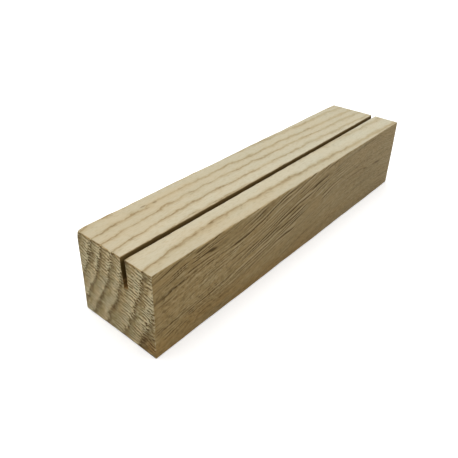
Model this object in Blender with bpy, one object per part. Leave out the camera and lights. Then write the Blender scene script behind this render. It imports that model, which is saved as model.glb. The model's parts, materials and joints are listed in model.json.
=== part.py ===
"""Table number holder: one block of solid oak with a tilted card slot sawn along its top.

Frame: the origin is the centre of the underside. +X runs along the block's length, -Y is the
long face that the card looks over, and +Z is up. All sizes are in metres.
"""

import math

import bmesh
import bpy
from mathutils import Vector

# Block
BLOCK_LENGTH = 0.150
BLOCK_WIDTH = 0.0330
BLOCK_HEIGHT = 0.0304

# Card slot: a single saw cut with parallel walls and a square floor, open at both ends
SLOT_WIDTH = 0.0019
SLOT_DEPTH = 0.0105
SLOT_MOUTH_Y = -0.0046
SLOT_LEAN = math.radians(4.0)

# Sanded edges
OUTER_ARRIS = 0.0005
SLOT_ARRIS = 0.0002
ARRIS_SEGMENTS = 3

# Planed, unfinished oak
OAK_COLOUR = (0.56, 0.46, 0.30, 1.0)
OAK_ROUGHNESS = 0.62


def clear_scene():
    for old in list(bpy.data.objects):
        bpy.data.objects.remove(old, do_unlink=True)


def slot_outline():
    """The slot's four corners in the YZ plane, from the rear of its mouth round to the front.

    The cut leans so that its floor lies nearer the front face than its mouth does, and a card
    standing in it leans back.
    """
    down = Vector((-math.sin(SLOT_LEAN), -math.cos(SLOT_LEAN)))
    rearward = Vector((math.cos(SLOT_LEAN), -math.sin(SLOT_LEAN)))
    mouth_centre = Vector((SLOT_MOUTH_Y, BLOCK_HEIGHT))
    floor_centre = mouth_centre + down * SLOT_DEPTH
    mouth_half = Vector((SLOT_WIDTH / 2 / math.cos(SLOT_LEAN), 0.0))
    wall_offset = rearward * (SLOT_WIDTH / 2)
    return [
        mouth_centre + mouth_half,
        floor_centre + wall_offset,
        floor_centre - wall_offset,
        mouth_centre - mouth_half,
    ]


def end_outline():
    """The block's end face in the YZ plane: an upright rectangle with the slot cut from its top."""
    half_width = BLOCK_WIDTH / 2
    underside = [Vector((-half_width, 0.0)), Vector((half_width, 0.0))]
    top_rear = Vector((half_width, BLOCK_HEIGHT))
    top_front = Vector((-half_width, BLOCK_HEIGHT))
    return underside + [top_rear] + slot_outline() + [top_front]


def extrude_outline(outline):
    """A closed bmesh that carries the outline from one end of the block to the other."""
    bm = bmesh.new()
    near_end = -BLOCK_LENGTH / 2
    corners = [bm.verts.new((near_end, point.x, point.y)) for point in outline]
    end_face = bm.faces.new(corners)
    swept = bmesh.ops.extrude_face_region(bm, geom=[end_face], use_keep_orig=True)
    moved = [item for item in swept["geom"] if isinstance(item, bmesh.types.BMVert)]
    bmesh.ops.translate(bm, verts=moved, vec=(BLOCK_LENGTH, 0.0, 0.0))
    bmesh.ops.recalc_face_normals(bm, faces=bm.faces)
    return bm


def in_slot(point, outline):
    """True for a corner of the slot, wherever it is along the block."""
    flat = Vector((point.y, point.z))
    return any((flat - corner).length < SLOT_ARRIS / 2 for corner in outline)


def weight_arrises(bm):
    """Sets how far sanding breaks each edge: fully outside, lightly at the slot, not at its floor."""
    weights = bm.edges.layers.float.new("bevel_weight_edge")
    slot = slot_outline()
    for edge in bm.edges:
        both_in_slot = all(in_slot(corner.co, slot) for corner in edge.verts)
        if not edge.is_convex:
            edge[weights] = 0.0
        elif both_in_slot:
            edge[weights] = SLOT_ARRIS / OUTER_ARRIS
        else:
            edge[weights] = 1.0


def oak():
    material = bpy.data.materials.new("oak")
    material.use_nodes = True
    shader = material.node_tree.nodes["Principled BSDF"]
    shader.inputs["Base Color"].default_value = OAK_COLOUR
    shader.inputs["Roughness"].default_value = OAK_ROUGHNESS
    shader.inputs["Metallic"].default_value = 0.0
    material.diffuse_color = OAK_COLOUR
    return material


def holder_block():
    bm = extrude_outline(end_outline())
    weight_arrises(bm)
    mesh = bpy.data.meshes.new("holder_block")
    bm.to_mesh(mesh)
    bm.free()
    mesh.materials.append(oak())
    block = bpy.data.objects.new("holder_block", mesh)
    bpy.context.scene.collection.objects.link(block)
    arris = block.modifiers.new("arris", "BEVEL")
    arris.limit_method = "WEIGHT"
    arris.width = OUTER_ARRIS
    arris.segments = ARRIS_SEGMENTS
    return block


clear_scene()
holder_block()
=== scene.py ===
"""Looks of the table number holder: a block of pale oak with a card slot sawn along its top.

The block is rebuilt as one dense closed mesh on the CAD node's box and slot, with sanded edges and
real relief. The timber (growth rings, vessels, rays, saw marks) is described once, as formulas, and
built twice as nodes: in geometry nodes for the relief, and in the material for the colour.
Lengths are in metres, except in the timber's own formulas, which are in millimetres.
"""

import json

import bpy
import numpy as np
from mathutils import Matrix, Vector


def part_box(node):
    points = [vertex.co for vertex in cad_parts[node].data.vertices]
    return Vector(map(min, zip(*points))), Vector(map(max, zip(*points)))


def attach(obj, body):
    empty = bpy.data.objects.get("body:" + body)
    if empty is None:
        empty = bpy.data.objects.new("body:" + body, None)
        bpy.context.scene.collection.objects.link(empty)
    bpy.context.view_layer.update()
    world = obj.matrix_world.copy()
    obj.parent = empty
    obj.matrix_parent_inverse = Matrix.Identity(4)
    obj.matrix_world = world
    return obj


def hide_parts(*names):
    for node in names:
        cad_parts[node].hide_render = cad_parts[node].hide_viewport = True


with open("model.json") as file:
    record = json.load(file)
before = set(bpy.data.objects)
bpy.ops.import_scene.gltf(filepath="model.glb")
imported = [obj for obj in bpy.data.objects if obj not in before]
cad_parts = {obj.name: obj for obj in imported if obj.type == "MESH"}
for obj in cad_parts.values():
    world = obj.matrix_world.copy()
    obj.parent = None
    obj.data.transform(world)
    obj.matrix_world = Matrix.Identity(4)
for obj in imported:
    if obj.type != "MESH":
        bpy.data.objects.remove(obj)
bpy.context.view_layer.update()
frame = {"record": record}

MM = 0.001

# ------------------------------------------------------------------ the block

# Its box and its slot's floor, from the frame, and the width of the slot
LOW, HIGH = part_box("holder_block")
SLOT_FLOOR = next(m for m in frame["record"]["mounts"] if m["name"] == "card_slot_floor")
SLOT_WIDTH = 1.9 * MM
# The saw left the slot's floor higher along its front wall
SLOT_FLOOR_RISE = 0.9 * MM
SLOT_FLOOR_BLEND = 3.0 * MM

# Sanded edges: radius, how much it wanders and in what waves, and how far the slot's reach
OUTER_ARRIS = 0.38 * MM
ARRIS_WANDER = 0.14 * MM
LONG_WAVE = 7 * MM
CROSS_WAVE = 5 * MM
SHORT_WAVE = 2.3 * MM
SHORT_WAVE_SHARE = 0.6
SLOT_ARRIS = 0.22 * MM
SLOT_ARRIS_REACH = 2 * MM
# The one corner that is knocked rounder
SOFT_CORNER = (LOW.x, HIGH.y, HIGH.z)
SOFT_CORNER_ARRIS = 1.2 * MM
SOFT_CORNER_REACH = 2.0 * MM

# Mesh spacing: close next to every arris, even in between, and longer along the grain
EDGE_STEPS = (0.10 * MM, 0.12 * MM, 0.15 * MM, 0.20 * MM)
ACROSS_STEP = 0.27 * MM
ALONG_STEP = 1.45 * MM
ALONG_EDGE_STEPS = EDGE_STEPS + (0.30 * MM, 0.45 * MM, 0.65 * MM, 0.90 * MM)
SLOT_FLOOR_STOPS = 8
# Two places this close are the same one
TOLERANCE = 0.001 * MM

# ------------------------------------------------------------------ the timber, in millimetres

PITH_Y = 83.8
PITH_Z = 49.6
RING_EDGES = (63.5, 67.8, 71.2, 76.6, 80.9, 85.7, 91.0, 98.4, 104.3, 113.0, 119.5, 126.0)
# How tan the planed wood is, by its distance from the pith
RING_TONES = (
    (66.0, 0.80), (72.5, 0.70), (78.0, 0.85), (81.5, 0.60), (85.5, 0.50), (87.0, 0.25),
    (92.0, 0.05), (97.6, 0.15), (99.5, 0.85), (103.0, 0.70), (110.0, 0.70),
)
# How far the rings bow to the front (+) or to the rear (-), from the near end (0) to the far (1)
RING_SWAY = (
    (0.00, 0.0), (0.05, -1.1), (0.14, -1.8), (0.27, -2.4), (0.44, -2.0),
    (0.58, -1.0), (0.73, 0.0), (0.86, 1.1), (1.00, 2.3),
)
# How high the fibres climb on the sides, from the near end (0) to the far (1)
GRAIN_CLIMB = (
    (0.00, 0.0), (0.15, 4.0), (0.30, 6.8), (0.50, 12.5), (0.70, 17.5), (0.82, 18.6), (1.00, 17.2),
)
# Rays: how much they dip to the front, and how far apart their rungs are on the ends
RAY_DIP = 0.18
RUNG_PITCH = 0.61
# How far apart the saw strokes on the sides are
STROKE_PITCH = 1.4
# How far each kind of mark stands above the planed faces (+) or lies below them (-)
RAY_RELIEF = 0.055
LATE_WOOD_RELIEF = 0.05
DARK_BAND_RELIEF = -0.06
PORE_RELIEF = -0.06
STREAK_RELIEF = 0.03
STROKE_RELIEF = -0.075
PROUD_RELIEF = 0.06
THREAD_RELIEF = 0.05
GRIT_RELIEF = 0.02
TOP_STREAK_RELIEF = 0.008
TOP_LINE_RELIEF = -0.025
# Pin knots: how steeply they dip along the grain, then where each is, half its length along the
# grain and half its thickness
KNOT_TILT = 0.1
PIN_KNOTS = (
    (59.5, -16.5, 16.1, 4.6, 0.85), (48.3, -16.5, 17.0, 2.6, 0.60),
    (-52.5, 12.0, 30.4, 1.9, 0.50), (-48.0, 11.3, 30.4, 1.4, 0.60), (-45.0, -10.4, 30.4, 1.9, 0.50),
)

# How far a normal points along an axis where that face's pattern starts, and where it is full
FACING = (0.45, 0.75)

# Timber colours, as linear RGB
WHITE = (1.0, 1.0, 1.0)
PALE_WOOD = (0.550, 0.486, 0.345)
TAN_WOOD = (0.430, 0.340, 0.195)
LINE_WOOD = (0.260, 0.178, 0.075)
PORE_SHADE = (0.120, 0.080, 0.035)
END_MIDDLE = (0.510, 0.392, 0.192)
END_BRIGHT = (0.880, 0.760, 0.480)
END_DARK = (0.135, 0.082, 0.026)
SIDE_MIDDLE = (0.450, 0.312, 0.131)
SIDE_BRIGHT = (0.640, 0.500, 0.270)
SIDE_DARK = (0.130, 0.082, 0.024)
# Saw cut: painted light near its mouth and low in its open ends, and a dark brown that is partly
# scorch and partly painted shade deep inside
SLOT_MOUTH_LIGHT = (0.280, 0.180, 0.062)
SLOT_SCORCH_AND_SHADE = (0.105, 0.064, 0.014)
SLOT_END_LIGHT = (0.340, 0.200, 0.065)
# What multiplies those colours: stains, darkening on the ends, patches of hue, and the drift toward
# the far end, which on the sides is painted light
STAIN = (1.00, 0.90, 0.74)
END_DARKENING = (0.560, 0.420, 0.240)
WARM_TINT = (1.03, 0.985, 0.92)
COOL_TINT = (0.975, 1.005, 1.01)
# Painted light: the sides grow paler and cooler toward the far end, as if lit from there
SIDE_FAR_LIGHT = (1.01, 1.09, 1.32)
TOP_FAR_TINT = (0.99, 1.03, 1.08)

# How the oak shines, and the fine bump of its fibres and open vessels
OAK_SPECULAR = 0.15
OAK_ROUGHNESS = 0.60
PORE_ROUGHNESS = 0.15
BUMP_STRENGTH = 0.6
BUMP_DEPTH = 0.1 * MM


# ------------------------------------------------------------------ mesh of the block


class Slot:
    """The card slot's walls and floor in the end view, from the frame's slot floor."""

    def __init__(self, floor):
        _, up_y, self.cosine = floor["axis"]
        _, self.floor_y, self.floor_z = floor["pos_m"]
        self.lean = up_y / self.cosine
        self.half = SLOT_WIDTH / 2 / self.cosine

    def centre(self, z):
        return self.floor_y + self.lean * (z - self.floor_z)


SLOT = Slot(SLOT_FLOOR)


def graded_stops(start, stop, step, edge_steps):
    """Stops from start to stop: the given closer steps at both ends, even steps in between."""
    inset = np.concatenate(([0.0], np.cumsum(edge_steps)))
    middle = np.linspace(start + inset[-1], stop - inset[-1],
                         1 + max(1, round((stop - start - 2 * inset[-1]) / step)))
    return np.concatenate((start + inset[:-1], middle, (stop - inset[:-1])[::-1]))


def join_stops(*runs):
    """One run of stops from several that share their end points."""
    return np.concatenate([runs[0]] + [run[1:] for run in runs[1:]])


# Corner steps (along, across, up) round one cell side, and the way each order faces
ALONG_SIDE = ((0, 0, 0), (0, 1, 0), (0, 1, 1), (0, 0, 1))
REAR_SIDE = ((0, 0, 0), (0, 0, 1), (1, 0, 1), (1, 0, 0))
UPPER_SIDE = ((0, 0, 0), (1, 0, 0), (1, 1, 0), (0, 1, 0))


def cell_sides(i, j, k, corner_steps, outward):
    """One quad of lattice corners for each cell given, turned to face outward (+1) or back (-1)."""
    steps = corner_steps if outward > 0 else corner_steps[::-1]
    i, j, k = (part.ravel() for part in np.broadcast_arrays(i, j, k))
    return np.stack([np.stack((i + a, j + b, k + c), axis=1) for a, b, c in steps], axis=1)


def borders(solid, axis):
    """+1 where timber ends in front of a cell line, -1 where it starts, 0 elsewhere."""
    margin = [(1, 1) if axis == side else (0, 0) for side in (0, 1)]
    return -np.diff(np.pad(solid.astype(int), margin), axis=axis)


def shell_quads(solid, along_count):
    """Every outer quad of a bar whose end view is the grid of solid cells."""
    j, k = np.nonzero(solid)
    quads = [cell_sides(0, j, k, ALONG_SIDE, -1), cell_sides(along_count, j, k, ALONG_SIDE, 1)]
    i = np.arange(along_count)[:, None]
    for axis, side in ((0, REAR_SIDE), (1, UPPER_SIDE)):
        for outward in (-1, 1):
            j, k = np.nonzero(borders(solid, axis) == outward)
            quads.append(cell_sides(i, j[None, :], k[None, :], side, outward))
    return np.concatenate(quads)


def lean_columns(y, z):
    """y moved so that lattice columns lean with the slot's walls and stay upright at the sides."""
    mouth_y = SLOT.centre(HIGH.z)
    share = np.interp(y, [LOW.y, mouth_y - SLOT.half, mouth_y + SLOT.half, HIGH.y], [0, 1, 1, 0])
    deepest = SLOT.lean * (SLOT.floor_z - HIGH.z)
    fade = np.where(z >= SLOT.floor_z, SLOT.lean * (z - HIGH.z), deepest * z / SLOT.floor_z)
    return y + share * fade


def soften(points, in_slot):
    """Rounds the arrises. Returns the new points and their outward normals."""
    x, y, z = points.T
    wall_gap = np.abs(y - SLOT.centre(z)) - SLOT.half
    beside_slot = (z > SLOT.floor_z + TOLERANCE) & (wall_gap > -TOLERANCE)
    over_floor = in_slot & (z < SLOT.floor_z + TOLERANCE) & (wall_gap < -TOLERANCE)
    toward_slot = np.sign(SLOT.centre(z) - y)
    far = np.full(len(points), 1.0)
    planes = [
        ((-1, 0, 0), x - LOW.x), ((1, 0, 0), HIGH.x - x),
        ((0, -1, 0), y - LOW.y), ((0, 1, 0), HIGH.y - y),
        ((0, 0, -1), z - LOW.z), ((0, 0, 1), HIGH.z - z),
        ((0, 0, 1), np.where(over_floor, 0.0, far)),
    ]
    normals = [np.broadcast_to(np.array(n, float), points.shape) for n, _ in planes]
    gaps = [gap for _, gap in planes]
    wall_normal = np.stack((0 * x, toward_slot * SLOT.cosine,
                            -toward_slot * SLOT.lean * SLOT.cosine), axis=1)
    normals.append(wall_normal)
    gaps.append(np.where(beside_slot, np.maximum(wall_gap * SLOT.cosine, 0.0), far))

    wander = np.sin(x / LONG_WAVE) * np.cos((y + z) / CROSS_WAVE)
    wander = wander + SHORT_WAVE_SHARE * np.sin(x / SHORT_WAVE + 1)
    outer = OUTER_ARRIS + ARRIS_WANDER * wander
    off_corner = np.linalg.norm(points - np.array(SOFT_CORNER), axis=1) / SOFT_CORNER_REACH
    outer = outer + (SOFT_CORNER_ARRIS - OUTER_ARRIS) * np.exp(-off_corner ** 2)
    near_slot = np.clip(1 - wall_gap / SLOT_ARRIS_REACH, 0, 1)
    near_slot = near_slot * (z > SLOT.floor_z - SLOT_ARRIS_REACH / 2)
    radius = outer + (SLOT_ARRIS - outer) * near_slot

    inward = sum(n * np.maximum(radius - gap, 0.0)[:, None] for n, gap in zip(normals, gaps))
    reach = np.linalg.norm(inward, axis=1)[:, None]
    direction = inward / np.maximum(reach, 1e-9)
    return points - inward + direction * radius[:, None], direction


def block_mesh():
    """A closed quad mesh on the CAD block, with its slot and its sanded arrises."""
    mouth_y = SLOT.centre(HIGH.z)
    walls = (mouth_y - SLOT.half, mouth_y + SLOT.half)
    along = graded_stops(LOW.x, HIGH.x, ALONG_STEP, ALONG_EDGE_STEPS)
    across = join_stops(
        graded_stops(LOW.y, walls[0], ACROSS_STEP, EDGE_STEPS),
        np.linspace(walls[0], walls[1], SLOT_FLOOR_STOPS),
        graded_stops(walls[1], HIGH.y, ACROSS_STEP, EDGE_STEPS),
    )
    up = join_stops(
        graded_stops(LOW.z, SLOT.floor_z, ACROSS_STEP, EDGE_STEPS),
        graded_stops(SLOT.floor_z, HIGH.z, ACROSS_STEP, EDGE_STEPS),
    )
    middle_y = (across[1:] + across[:-1]) / 2
    middle_z = (up[1:] + up[:-1]) / 2
    cut = (np.abs(middle_y - mouth_y) < SLOT.half)[:, None] & (middle_z > SLOT.floor_z)[None, :]
    corners = shell_quads(~cut, len(along) - 1)

    shape = (len(along), len(across), len(up))
    key = np.ravel_multi_index(corners.reshape(-1, 3).T, shape)
    used, quads = np.unique(key, return_inverse=True)
    i, j, k = np.unravel_index(used, shape)
    y = lean_columns(across[j], up[k])
    points = np.stack((along[i], y, up[k]), axis=1)
    in_slot = np.abs(across[j] - mouth_y) < SLOT.half + TOLERANCE
    in_slot = in_slot & (up[k] > SLOT.floor_z - TOLERANCE)
    points, normals = soften(points, in_slot)
    toward_front = np.clip((walls[1] - across[j]) / (walls[1] - walls[0]), 0, 1)
    above_floor = np.clip(1 - (up[k] - SLOT.floor_z) / SLOT_FLOOR_BLEND, 0, 1)
    points[:, 2] += in_slot * SLOT_FLOOR_RISE * toward_front ** 2 * above_floor

    mesh = bpy.data.meshes.new("oak_block")
    mesh.from_pydata(points.tolist(), [], quads.reshape(-1, 4).tolist())
    mesh.attributes.new("cut_normal", "FLOAT_VECTOR", "POINT")
    mesh.attributes["cut_normal"].data.foreach_set("vector", normals.astype(np.float32).ravel())
    mesh.attributes.new("in_slot", "FLOAT", "POINT")
    deep = in_slot & (np.abs(points[:, 2] - HIGH.z) > SLOT_ARRIS)
    mesh.attributes["in_slot"].data.foreach_set("value", deep.astype(np.float32))
    mesh.shade_smooth()
    return mesh


# ------------------------------------------------------------------ formulas as nodes


class Field:
    """A number worked out by nodes. Arithmetic on fields adds the matching math nodes."""

    def __init__(self, tree, socket):
        self.tree = tree
        self.socket = socket

    def math(self, operation, *others, clamp=False):
        node = self.tree.nodes.new("ShaderNodeMath")
        node.operation = operation
        node.use_clamp = clamp
        for slot, value in zip(node.inputs, (self,) + others):
            feed(self.tree, slot, value)
        return Field(self.tree, node.outputs[0])

    def __add__(self, other):
        return self.math("ADD", other)

    def __sub__(self, other):
        return self.math("SUBTRACT", other)

    def __rsub__(self, other):
        return (self * -1.0) + other

    def __mul__(self, other):
        return self.math("MULTIPLY", other)

    def __truediv__(self, other):
        return self.math("DIVIDE", other)

    __radd__ = __add__
    __rmul__ = __mul__

    def ramp(self, start, stop):
        """0 at start, 1 at stop, with eased ends; start may be the larger."""
        node = self.tree.nodes.new("ShaderNodeMapRange")
        node.interpolation_type = "SMOOTHSTEP"
        for name, value in (("Value", self), ("From Min", start), ("From Max", stop)):
            feed(self.tree, node.inputs[name], value)
        return Field(self.tree, node.outputs[0])

    def profile(self, points):
        """The smooth line through (input, output) points."""
        first, last = points[0][0], points[-1][0]
        outputs = [output for _, output in points]
        low, high = min(outputs), max(outputs)
        node = self.tree.nodes.new("ShaderNodeFloatCurve")
        line = node.mapping.curves[0]
        for _ in points[2:]:
            line.points.new(0.5, 0.5)
        for knot, (place, output) in zip(line.points, points):
            knot.location = ((place - first) / (last - first), (output - low) / (high - low))
            knot.handle_type = "AUTO_CLAMPED"
        node.mapping.update()
        feed(self.tree, node.inputs["Value"], (self - first) / (last - first))
        return low + (high - low) * Field(self.tree, node.outputs[0])


def feed(tree, socket, value):
    if isinstance(value, Field):
        tree.links.new(value.socket, socket)
    else:
        socket.default_value = value


def combine(tree, x, y, z):
    node = tree.nodes.new("ShaderNodeCombineXYZ")
    for socket, value in zip(node.inputs, (x, y, z)):
        feed(tree, socket, value)
    return Field(tree, node.outputs[0])


def split(tree, vector):
    node = tree.nodes.new("ShaderNodeSeparateXYZ")
    feed(tree, node.inputs[0], vector)
    return [Field(tree, output) for output in node.outputs]


def noise(tree, x, y, z, detail=0.0, roughness=0.5):
    """Smooth noise between 0 and 1, about 0.5 on average, one wave to each unit of x, y and z."""
    node = tree.nodes.new("ShaderNodeTexNoise")
    feed(tree, node.inputs["Vector"], combine(tree, x, y, z))
    node.inputs["Scale"].default_value = 1.0
    node.inputs["Detail"].default_value = detail
    node.inputs["Roughness"].default_value = roughness
    return Field(tree, node.outputs[0])


def scaled(tree, vector, factor):
    """The vector times a number or a field."""
    node = tree.nodes.new("ShaderNodeVectorMath")
    node.operation = "SCALE"
    feed(tree, node.inputs[0], vector)
    feed(tree, node.inputs["Scale"], factor)
    return Field(tree, node.outputs[0])


def cells(tree, x, y, z):
    """Scattered cells, one to each unit: distance from the cell's middle, and its random number."""
    node = tree.nodes.new("ShaderNodeTexVoronoi")
    feed(tree, node.inputs["Vector"], combine(tree, x, y, z))
    node.inputs["Scale"].default_value = 1.0
    distance = Field(tree, node.outputs["Distance"])
    return distance, split(tree, Field(tree, node.outputs["Color"]))[0]


# ------------------------------------------------------------------ the timber


class Timber:
    """The oak's growth: fields in millimetres, for a tree of geometry or material nodes."""

    def __init__(self, tree, place, normal, in_slot):
        self.tree = tree
        self.x, self.y, self.z = split(tree, place)
        normal_x, normal_y, _ = split(tree, normal)
        self.end = normal_x.math("ABSOLUTE").ramp(*FACING)
        self.side = normal_y.math("ABSOLUTE").ramp(*FACING) * (1.0 - in_slot)
        self.slot = in_slot
        self.arris = (normal_x * normal_y).math("ABSOLUTE").ramp(0.10, 0.40)
        self.length = (HIGH.x - LOW.x) / MM
        self.height = (HIGH.z - LOW.z) / MM
        self.along = (self.x + self.length / 2) / self.length
        self.high = self.z / self.height
        self.streaks()
        self.rings()
        self.rays()
        self.bands()
        self.vessels()
        self.strokes()
        self.threads()
        self.rough_patch()
        self.knot = sum(self.pin_knot(*knot) for knot in PIN_KNOTS)

    def noise(self, x, y, z, **settings):
        """Noise: what each coordinate is divided by is the length of its waves."""
        return noise(self.tree, x, y, z, **settings)

    def streaks(self):
        """Bundles of fibres along the grain, from -1 (sunk and dark) to 1 (proud and pale)."""
        wander = self.noise(self.x / 30, self.y / 9, self.z / 9) - 0.5
        curl = self.noise(self.x / 6 + 11, self.y / 4, self.z / 3) - 0.5
        self.bundle = self.z - self.along.profile(GRAIN_CLIMB) + wander * 2.2 + curl * 0.7
        bundles = self.noise(self.x / 34, self.y / 2.4, self.bundle / 1.9,
                             detail=3.0, roughness=0.6)
        self.streak = (bundles - 0.5) * 5.0

    def rings(self):
        """ring counts the rings outwards: each whole number is where a ring's first vessels lie."""
        across = PITH_Y - self.y
        above = PITH_Z - self.z
        self.radius = (across * across + above * above).math("SQRT")
        self.wavy = self.noise(self.x / 6 + 3.1, self.y / 3, self.z / 3) - 0.5
        broad = self.noise(self.x / 26, self.y / 11, self.z / 11) - 0.5
        jagged = self.noise(self.x / 1.5 + 9.7, self.y / 0.9, self.z / 0.9, detail=1.0) - 0.5
        warped = self.radius - self.along.profile(RING_SWAY) + broad * 1.4
        warped = warped + self.wavy * 1.9 + jagged * 1.2
        self.tone = warped.profile(RING_TONES)
        self.ring = warped.profile([(edge, index) for index, edge in enumerate(RING_EDGES)])

    def rays(self):
        """Thin ribbons that run out from the pith: rungs on the ends, torn (-) or proud (+)."""
        level = self.z - self.y * RAY_DIP + self.wavy * 0.8
        bend = self.noise(self.x / 9, self.radius / 5.0, level / 2.6, detail=1.0)
        own = self.ring.math("FLOOR") * 0.77
        comb = (level / RUNG_PITCH + bend * 3.2 + own).math("PINGPONG", 1.0).ramp(0.2, 0.8)
        strong = self.noise(self.x / 9, self.radius / 1.3, level / 0.9).ramp(0.36, 0.58)
        in_ring = self.ring.math("FRACT")
        stack = in_ring.ramp(0.25, 0.60) + in_ring.ramp(0.25, 0.0)
        fine = self.noise(self.x / 9, self.radius / 1.4, level / 0.66, detail=2.0, roughness=0.6)
        busy = (0.87 + 0.28 * self.y.ramp(-9.0, 0.0)) * (1.0 - 0.42 * self.along)
        combs = (comb - 0.5) * (0.8 + 2.4 * strong) * (0.25 + 0.80 * stack)
        self.ray = (combs + (fine - 0.5) * 4.8) * busy

    def bands(self):
        """phase runs from 0 at a ring's first vessels to 1 at its last growth."""
        self.phase = (self.ring - self.ray * self.end * 0.05).math("FRACT")
        patch = self.noise(self.x / 10, self.y / 3.2, self.z / 3.2 + 5.0).ramp(0.30, 0.58)
        width = 0.17 + 0.07 * patch + 0.06 * self.along
        start = self.phase.ramp(0.0, 0.05 + 0.12 * self.along)
        self.line = start * self.phase.ramp(width + 0.05 * self.along, 0.05) * (0.4 + 0.6 * patch)
        self.early = self.phase.ramp(0.60, 0.04)
        self.dark = self.phase.ramp(0.0, 0.08) * self.phase.ramp(0.44, 0.12)
        self.late = self.phase.ramp(0.50, 0.78)

    def vessels(self):
        """Long tubes that follow the grain: dots on the ends, dashes on the long faces."""
        near, pick = cells(self.tree, self.x / 4.5, self.y / 0.6, self.bundle / 0.6)
        self.pore = near.ramp(0.44, 0.16) * pick.ramp(0.80, 0.35) * (0.25 + 0.75 * self.early)
        self.fibre = self.noise(self.x / 2.4, self.y / 0.5, self.bundle / 0.5,
                                detail=2.0, roughness=0.7)

    def strokes(self):
        """Cut vessels on the sides: dark strokes, partly painted shade in their grooves, with proud
        fibres beside them painted pale as their lit side.
        """
        crowd = self.noise(self.x / 26, self.y / 9 + 3, self.bundle / 5).ramp(0.30, 0.58)
        reach = (self.high - self.along * 0.55).ramp(-0.02, 0.28) * self.along.ramp(0.95, 0.45)
        busy = 0.20 + (0.60 + 0.70 * crowd) * reach
        flow = self.noise(self.x / 40, self.y / 5, self.bundle / 3.2, detail=1.0)
        saw = (self.bundle / STROKE_PITCH + flow * 3.0).math("FRACT")
        weight = self.noise(self.x / 18, self.y / 3 + 7, self.bundle / 2.0).ramp(0.35, 0.65)
        long = self.noise(self.x / 11, self.y / 2, self.bundle / 1.2).ramp(0.36, 0.56)
        short = self.noise(self.x / 4.5, self.y / 2, self.bundle / 1.0).ramp(0.40, 0.56)
        near = self.along.ramp(0.32, 0.10)
        fresh = 0.5 + 0.5 * self.along.ramp(0.0, 0.08)
        broken = (long * (1.0 - near) + short * near * 0.85) * busy * fresh
        # Strokes and proud lines shape the relief; in the colour the strokes are partly painted
        # shade and the proud lines a painted highlight
        self.stroke = saw.ramp(0.0, 0.10) * saw.ramp(0.55, 0.10) * broken * (0.55 + 1.00 * weight)
        self.proud = saw.ramp(0.50, 0.75) * saw.ramp(1.0, 0.88) * broken

    def threads(self):
        """Pale loose fibres, where the sides are torn toward the near end."""
        loose = self.noise(self.x / 9, self.y / 3, self.bundle / 1.3, detail=2.0)
        torn = self.along.ramp(0.02, 0.14) * self.along.ramp(0.46, 0.24) * self.high.ramp(0.95, 0.6)
        thread = (loose - 0.5).math("ABSOLUTE").ramp(0.040, 0.0)
        self.thread = thread * torn * self.high.ramp(0.1, 0.35)

    def rough_patch(self):
        """Short grit on the sides next to the near end, dark (-) or pale (+)."""
        rough = self.along.ramp(0.30, 0.16) * self.high.ramp(0.02, 0.20)
        rough = rough * self.high.ramp(0.92, 0.70)
        grit = self.noise(self.x / 1.6, self.y / 2, self.bundle / 0.9, detail=2.0, roughness=0.7)
        self.grit = (grit - 0.5) * 6.0 * rough

    def pin_knot(self, x, y, z, half_length, half_thickness):
        """A small dark lens-shaped mark where a twig started: 1 at its middle, 0 outside."""
        along = (self.x - x) / half_length
        across = (self.y - y) / half_thickness
        up = (self.z - z + (self.x - x) * KNOT_TILT) / half_thickness
        return (along * along + across * across + up * up).math("SQRT").ramp(1.0, 0.25)

    def relief(self):
        """Height above the planed faces, in millimetres."""
        rim = self.y.math("ABSOLUTE").ramp(16.4, 14.6) * self.z.ramp(0.1, 1.2)
        rim = rim * self.z.ramp(self.height - 0.3, self.height - 2.2)
        near_end = self.x.math("ABSOLUTE").ramp(self.length / 2 - 1.5, self.length / 2 - 0.2)
        ends = self.ray * RAY_RELIEF + self.dark * DARK_BAND_RELIEF
        ends = ends + self.late * LATE_WOOD_RELIEF + self.pore * PORE_RELIEF
        sides = self.streak * STREAK_RELIEF + self.stroke * STROKE_RELIEF
        sides = sides + self.proud * PROUD_RELIEF + self.thread * THREAD_RELIEF
        sides = sides + self.grit * GRIT_RELIEF
        top = self.streak * TOP_STREAK_RELIEF + self.line * TOP_LINE_RELIEF
        long_faces = (top * (1.0 - self.side) + sides * self.side) * (1.0 - 0.8 * near_end)
        return ends * self.end * (0.10 + 0.90 * rim) + long_faces * (1.0 - self.end)

    def end_colour(self):
        """Cross-cut faces: pale late wood, dark vessel bands, and rays torn light and dark."""
        front = self.y.ramp(-3.0, -10.0)
        corner = self.y.ramp(-6.0, -15.0) * self.z.ramp(14.0, 2.0)
        pale_band = self.late * (0.38 + 0.45 * self.ray.ramp(-0.9, 0.9))
        pale_rung = self.ray.ramp(0.1, 1.0) * (0.56 + 0.18 * front)
        dark_band = self.dark * (0.30 + 0.50 * self.ray.ramp(0.7, -0.7))
        dark_gap = self.ray.ramp(0.0, -1.0) * (0.56 + 0.22 * front + 0.22 * corner)
        colour = self.mix(pale_band, END_MIDDLE, END_BRIGHT)
        colour = self.mix(pale_rung, colour, END_BRIGHT)
        colour = self.mix(dark_band, colour, END_DARK)
        colour = self.mix(dark_gap, colour, END_DARK)
        colour = self.mix(self.pore * 0.6, colour, PORE_SHADE)
        # Darker in patches just under the top edge, and toward the lower front corner
        patchy = self.noise(self.x, self.y / 2.5, self.z / 0.6, detail=2.0).ramp(0.35, 0.60)
        under_top = self.z.ramp(self.height - 1.0, self.height - 0.45)
        darkening = under_top * patchy * 0.7 + corner * 0.65
        return self.mix(darkening, colour, END_DARKENING, "MULTIPLY")

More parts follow.
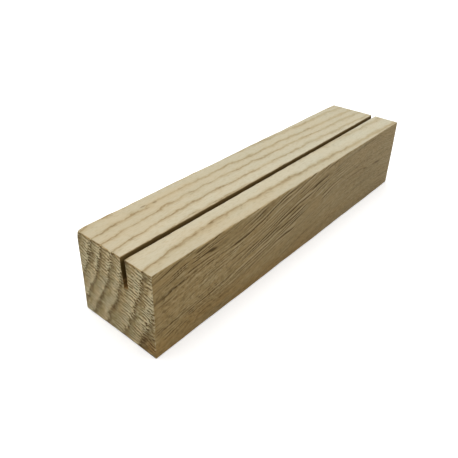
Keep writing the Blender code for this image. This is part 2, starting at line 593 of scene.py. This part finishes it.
    def side_colour(self):
        """Sawn long sides: brown, with dark strokes, proud lines beside them and a few pale
        threads; the strokes are partly painted shade, the proud lines partly a painted highlight,
        and painted light grows toward the far end.
        """
        colour = self.mix(self.streak.ramp(0.1, 1.5) * 0.30, SIDE_MIDDLE, SIDE_BRIGHT)
        colour = self.mix(self.streak.ramp(0.0, -1.4) * 0.44, colour, SIDE_DARK)
        colour = self.mix(self.fibre.ramp(0.50, 0.68) * 0.35, colour, SIDE_BRIGHT)
        colour = self.mix(self.fibre.ramp(0.50, 0.32) * 0.40, colour, SIDE_DARK)
        colour = self.mix(self.line * 0.10, colour, SIDE_DARK)
        # Pale threads, and a painted highlight on the proud lines
        colour = self.mix(self.thread * 0.50 + self.proud * 0.45, colour, SIDE_BRIGHT)
        # Dark strokes, partly painted shade
        colour = self.mix(self.stroke.math("MULTIPLY", 0.68, clamp=True), colour, SIDE_DARK)
        colour = self.mix(self.grit.ramp(0.1, 1.3) * 0.45, colour, SIDE_BRIGHT)
        colour = self.mix(self.grit.ramp(-0.1, -1.3) * 0.50, colour, SIDE_DARK)
        # Painted light from the far end
        far = self.mix(self.along.ramp(0.0, 0.9), WHITE, SIDE_FAR_LIGHT)
        return self.mix(1.0, colour, far, "MULTIPLY")

    def top_colour(self):
        """Planed faces: pale, with thin vessel lines and a tan that fades away outwards."""
        clear = self.along.ramp(1.05, 0.40)
        halo = self.phase.ramp(0.50, 0.04) * 0.55 + self.phase.ramp(0.84, 1.0) * 0.35
        colour = self.mix(halo + self.tone * 0.4, PALE_WOOD, TAN_WOOD)
        colour = self.mix(self.streak.ramp(0.0, -1.6) * 0.25, colour, TAN_WOOD)
        colour = self.mix(self.fibre.ramp(0.56, 0.32) * 0.35, colour, TAN_WOOD)
        colour = self.mix(self.line * (0.25 + 0.50 * clear), colour, LINE_WOOD)
        colour = self.mix(self.pore * 0.35, colour, PORE_SHADE)
        return self.mix(self.along.ramp(0.1, 0.6), colour, TOP_FAR_TINT, "MULTIPLY")

    def slot_colour(self):
        """The saw cut: dark brown, partly scorch and partly painted shade deep in it, with painted
        light near its mouth and low in its open ends.
        """
        from_end = (self.along * 2.0 - 1.0).math("ABSOLUTE")
        patch = self.noise(self.x / 3, self.y, self.z / 2, detail=2.0).ramp(0.2, 0.6)
        # Painted light: paler toward the mouth of the cut
        mouth_light = self.z.ramp(self.height - 2.4, self.height - 0.3)
        floor = SLOT_FLOOR["pos_m"][2] / MM
        # Painted light: paler low in the open ends, where light gets in
        end_light = self.z.ramp(floor + 3.2, floor + 2.2) * from_end.ramp(0.93, 0.97)
        colour = self.mix(mouth_light, SLOT_SCORCH_AND_SHADE, SLOT_MOUTH_LIGHT)
        return self.mix(end_light * patch, colour, SLOT_END_LIGHT)

    def colour(self):
        colour = self.mix(self.side, self.top_colour(), self.side_colour())
        colour = self.mix(self.end, colour, self.end_colour())
        hue = self.noise(self.x / 12, self.y / 4 + 4, self.z / 4, detail=2.0).ramp(0.35, 0.65)
        tint = self.mix(hue, WARM_TINT, COOL_TINT)
        colour = self.mix(0.35 + 0.65 * self.end, colour, tint, "MULTIPLY")
        low_front = self.z.ramp(12.0, 0.0) * self.y.ramp(2.0, -14.0)
        low_front = low_front * self.along.ramp(1.1, 0.1)
        blotch = self.noise(self.x / 16, self.y / 5, self.z / 5 + 8, detail=2.0).ramp(0.35, 0.6)
        colour = self.mix(low_front * blotch, colour, STAIN, "MULTIPLY")
        colour = self.mix(self.knot * 0.6, colour, SIDE_DARK)
        # Vertical arrises: dark chips, and pale flecks that are partly a painted highlight where
        # the rounded edge catches light
        chips_and_catchlight = self.noise(self.x, self.y, self.z / 0.7, detail=2.0)
        colour = self.mix(self.arris * chips_and_catchlight.ramp(0.45, 0.60) * 0.5, colour, END_BRIGHT)
        colour = self.mix(self.arris * chips_and_catchlight.ramp(0.36, 0.28), colour, END_DARK)
        return self.mix(self.slot, colour, self.slot_colour())

    def mix(self, share, first, second, blend="MIX"):
        return mix_colour(self.tree, share, first, second, blend)


def mix_colour(tree, share, first, second, blend="MIX"):
    node = tree.nodes.new("ShaderNodeMix")
    node.data_type = "RGBA"
    node.blend_type = blend
    feed(tree, node.inputs[0], share)
    for socket, colour in ((node.inputs[6], first), (node.inputs[7], second)):
        feed(tree, socket, colour if isinstance(colour, Field) else (*colour, 1.0))
    return Field(tree, node.outputs[2])


def oak_material():
    material = bpy.data.materials.new("oak")
    material.use_nodes = True
    tree = material.node_tree
    shader = tree.nodes["Principled BSDF"]
    place = Field(tree, tree.nodes.new("ShaderNodeTexCoord").outputs["Object"])
    normal = tree.nodes.new("ShaderNodeAttribute")
    normal.attribute_name = "cut_normal"
    inside = tree.nodes.new("ShaderNodeAttribute")
    inside.attribute_name = "in_slot"
    oak = Timber(tree, scaled(tree, place, 1 / MM), Field(tree, normal.outputs["Vector"]),
                 Field(tree, inside.outputs["Fac"]))

    feed(tree, shader.inputs["Base Color"], oak.colour())
    shader.inputs["Specular IOR Level"].default_value = OAK_SPECULAR
    feed(tree, shader.inputs["Roughness"], OAK_ROUGHNESS + PORE_ROUGHNESS * oak.pore)

    bump = tree.nodes.new("ShaderNodeBump")
    bump.inputs["Strength"].default_value = BUMP_STRENGTH
    bump.inputs["Distance"].default_value = BUMP_DEPTH
    feed(tree, bump.inputs["Height"], oak.fibre * 1.2 - oak.pore * 0.8)
    tree.links.new(bump.outputs["Normal"], shader.inputs["Normal"])
    return material


def relief_nodes():
    """Geometry nodes that push the block's skin along its normals by the timber's relief."""
    tree = bpy.data.node_groups.new("oak_relief", "GeometryNodeTree")
    tree.interface.new_socket("Geometry", in_out="INPUT", socket_type="NodeSocketGeometry")
    tree.interface.new_socket("Geometry", in_out="OUTPUT", socket_type="NodeSocketGeometry")
    source = tree.nodes.new("NodeGroupInput")
    result = tree.nodes.new("NodeGroupOutput")
    place = Field(tree, tree.nodes.new("GeometryNodeInputPosition").outputs[0])
    normal = tree.nodes.new("GeometryNodeInputNamedAttribute")
    normal.data_type = "FLOAT_VECTOR"
    normal.inputs["Name"].default_value = "cut_normal"
    inside = tree.nodes.new("GeometryNodeInputNamedAttribute")
    inside.data_type = "FLOAT"
    inside.inputs["Name"].default_value = "in_slot"
    cut_normal = Field(tree, normal.outputs[0])
    oak = Timber(tree, scaled(tree, place, 1 / MM), cut_normal, Field(tree, inside.outputs[0]))
    move = tree.nodes.new("GeometryNodeSetPosition")
    tree.links.new(source.outputs[0], move.inputs["Geometry"])
    feed(tree, move.inputs["Offset"], scaled(tree, cut_normal, oak.relief() * MM))
    tree.links.new(move.outputs[0], result.inputs[0])
    return tree


def oak_block():
    block = bpy.data.objects.new("oak_block", block_mesh())
    bpy.context.scene.collection.objects.link(block)
    relief = block.modifiers.new("relief", "NODES")
    relief.node_group = relief_nodes()
    shaped = block.evaluated_get(bpy.context.evaluated_depsgraph_get())
    block.data = bpy.data.meshes.new_from_object(shaped)
    block.modifiers.clear()
    block.data.materials.append(oak_material())
    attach(block, "root")
    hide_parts("holder_block")


# ------------------------------------------------------------------ studio

# How much light the room gives
ROOM_LIGHT = 0.35
# The paper: its colour to the camera and to the block, its glow by the block and far from it, and
# from where to where the glow grows
PAPER_SEEN = (0.92, 0.92, 0.92)
PAPER_BOUNCE = (0.55, 0.54, 0.52)
PAPER_GLOW = 0.40
PAPER_FAR_GLOW = 0.80
PAPER_FAR = (0.15, 0.60)
PAPER_ROUGHNESS = 0.9
PAPER_SPECULAR = 0.1
FLOOR_REACH = 6.0

# The soft light above the block
OVERHEAD_PLACE = Vector((0.05, 0.15, 0.75))
OVERHEAD_SIZE = 0.9
OVERHEAD_POWER = 7.0


def paper_material():
    """White paper: near white to the camera, and a softer grey in the light it throws back."""
    material = bpy.data.materials.new("paper")
    material.use_nodes = True
    tree = material.node_tree
    shader = tree.nodes["Principled BSDF"]
    seen = Field(tree, tree.nodes.new("ShaderNodeLightPath").outputs["Is Camera Ray"])
    paper = mix_colour(tree, seen, PAPER_BOUNCE, PAPER_SEEN)
    feed(tree, shader.inputs["Base Color"], paper)
    shader.inputs["Roughness"].default_value = PAPER_ROUGHNESS
    shader.inputs["Specular IOR Level"].default_value = PAPER_SPECULAR
    shader.inputs["Emission Color"].default_value = (*WHITE, 1.0)
    place = tree.nodes.new("ShaderNodeTexCoord")
    x, y, _ = split(tree, Field(tree, place.outputs["Object"]))
    away = (x * x + y * y).math("SQRT").ramp(*PAPER_FAR)
    glow = PAPER_GLOW + (PAPER_FAR_GLOW - PAPER_GLOW) * away
    feed(tree, shader.inputs["Emission Strength"], seen * glow)
    return material


def floor():
    mesh = bpy.data.meshes.new("floor")
    corners = [(x * FLOOR_REACH, y * FLOOR_REACH, LOW.z)
               for x, y in ((-1, -1), (1, -1), (1, 1), (-1, 1))]
    mesh.from_pydata(corners, [], [(0, 1, 2, 3)])
    mesh.materials.append(paper_material())
    ground = bpy.data.objects.new("floor", mesh)
    bpy.context.scene.collection.objects.link(ground)


def overhead_light():
    """One broad soft light above the block, aimed at its middle."""
    lamp = bpy.data.lights.new("overhead", "AREA")
    lamp.shape = "RECTANGLE"
    lamp.size = OVERHEAD_SIZE
    lamp.size_y = OVERHEAD_SIZE
    lamp.energy = OVERHEAD_POWER
    holder = bpy.data.objects.new("overhead", lamp)
    bpy.context.scene.collection.objects.link(holder)
    holder.location = OVERHEAD_PLACE
    holder.rotation_euler = (-OVERHEAD_PLACE).to_track_quat("-Z", "Y").to_euler()


def room():
    """A white room: white to the camera, and dimmer in the light it gives."""
    world = bpy.data.worlds.new("studio")
    bpy.context.scene.world = world
    world.use_nodes = True
    tree = world.node_tree
    seen = Field(tree, tree.nodes.new("ShaderNodeLightPath").outputs["Is Camera Ray"])
    tree.nodes["Background"].inputs["Color"].default_value = (*WHITE, 1.0)
    strength = ROOM_LIGHT + (1.0 - ROOM_LIGHT) * seen
    feed(tree, tree.nodes["Background"].inputs["Strength"], strength)
    bpy.context.scene.view_settings.view_transform = "Standard"


# The camera: where it is, its own axes, and its lens and shift
CAMERA_PLACE = Vector((-0.14452, -0.09868, 0.11579))
CAMERA_RIGHT = Vector((0.65967, -0.75141, 0.01481))
CAMERA_BACK = Vector((-0.65289, -0.56319, 0.50651))
CAMERA_LENS = 40.54
CAMERA_SHIFT = (0.0269, -0.0578)
SENSOR_WIDTH = 36.0
CAMERA_NEAR = 0.01


def camera():
    data = bpy.data.cameras.new("camera")
    data.sensor_width = SENSOR_WIDTH
    data.lens = CAMERA_LENS
    data.shift_x, data.shift_y = CAMERA_SHIFT
    data.clip_start = CAMERA_NEAR
    view = bpy.data.objects.new("camera", data)
    up = CAMERA_BACK.cross(CAMERA_RIGHT)
    turn = Matrix((CAMERA_RIGHT, up, CAMERA_BACK)).transposed()
    view.matrix_world = Matrix.Translation(CAMERA_PLACE) @ turn.to_4x4()
    bpy.context.scene.collection.objects.link(view)
    bpy.context.scene.camera = view


oak_block()
floor()
room()
overhead_light()
camera()
